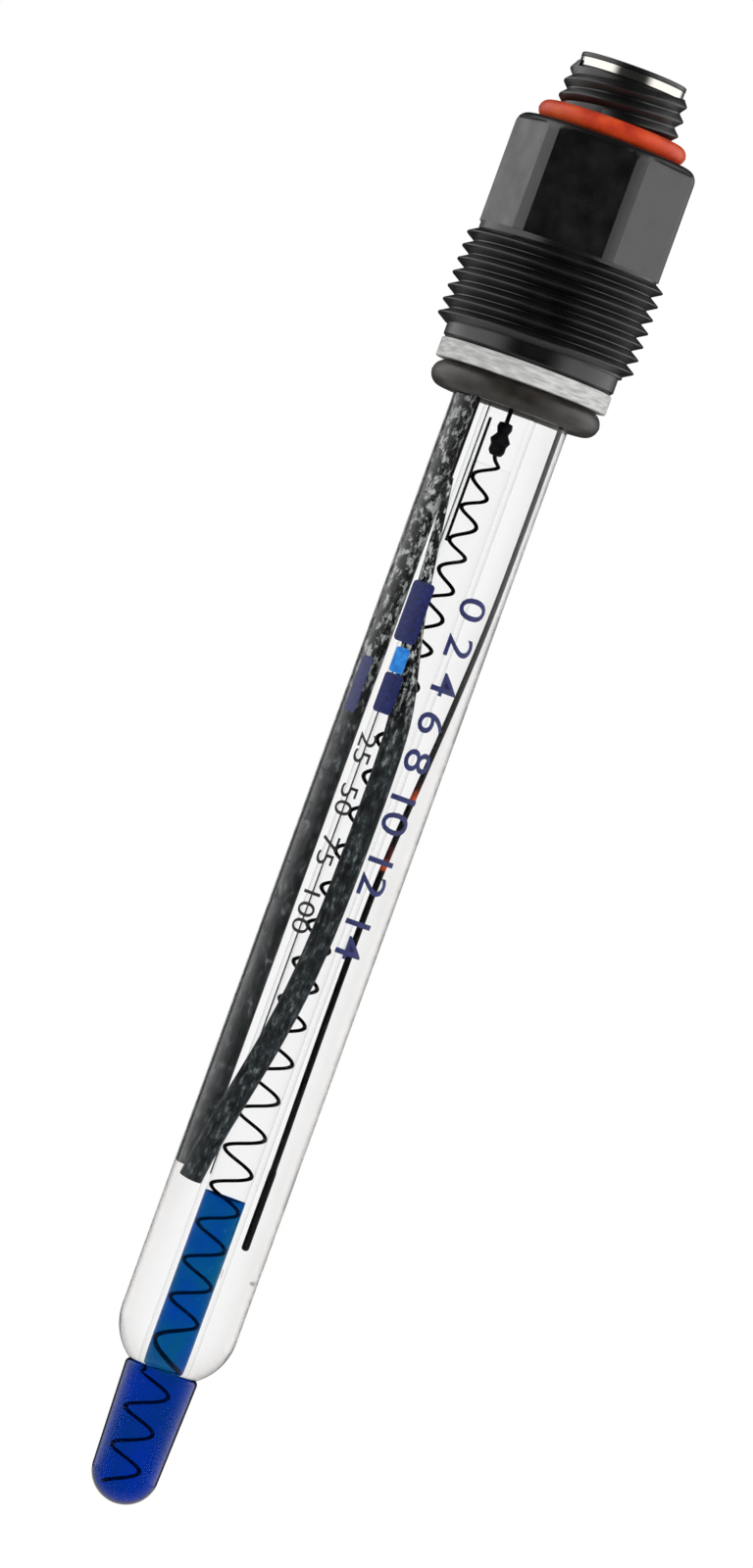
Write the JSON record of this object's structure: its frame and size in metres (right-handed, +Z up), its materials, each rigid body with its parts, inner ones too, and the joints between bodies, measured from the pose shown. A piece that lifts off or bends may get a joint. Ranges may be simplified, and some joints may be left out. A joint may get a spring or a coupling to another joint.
{
  "type": "ph electrode",
  "caption": "Glass-shafted process pH electrode with a threaded plug head, sealing rings, a coiled inner lead and a blue-filled sensing bulb.",
  "frame": {"origin": "lowest point of the sensing bulb, on the shaft's axis", "axes": "+Z up the shaft to the plug head; -Y is the front, seen in the picture; one hexagon flat faces it but for 6.4 degrees"},
  "size_m": [0.0204, 0.0204, 0.1513],
  "materials": {
    "head_plastic": "black moulded PPS, satin, with finer gloss on the thread crests",
    "silicone_red": "orange-red silicone, smooth matt",
    "seal_black": "black FKM, smooth satin",
    "washer_plastic": "pale grey thrust-washer plastic",
    "contact_brass": "turned, gold-flashed brass",
    "insulator_ptfe": "white PTFE",
    "shaft_glass": "clear drawn tube, fire polished at the foot",
    "membrane_glass": "thin blown pH glass",
    "ceramic": "porous sintered ceramic",
    "silver_wire": "chlorided silver, dark and dull",
    "reference_silver": "chlorided silver, brown-black",
    "sleeve_black": "black heat-shrunk sleeve",
    "buffer_blue": "blue-dyed buffer",
    "clear_gel": "clear gel",
    "cartridge_grey": "slate-grey salt in thin glass, mottled",
    "stopper_rubber": "grey silicone rubber",
    "potting_resin": "black epoxy"
  },
  "bodies": {
    "root": {"plug_head": "head_plastic", "shield_contact": "contact_brass", "contact_insulator": "insulator_ptfe", "centre_contact": "contact_brass", "connector_o_ring": "silicone_red", "thrust_washer": "washer_plastic", "process_o_ring": "seal_black", "outer_tube": "shaft_glass", "stem_tube": "shaft_glass", "membrane_bulb": "membrane_glass", "ceramic_diaphragm": "ceramic", "coil_lead": "silver_wire", "lead_crimp": "silver_wire", "signal_wire": "silver_wire", "inner_buffer": "buffer_blue", "stem_gel": "clear_gel", "reference_cartridge": "cartridge_grey", "swept_cartridge": "cartridge_grey", "swept_cartridge_lead": "silver_wire", "reference_wire": "reference_silver", "reference_sleeve": "sleeve_black", "reference_gel": "clear_gel", "tube_stopper": "stopper_rubber", "head_potting": "potting_resin"}
  },
  "joints": []
}
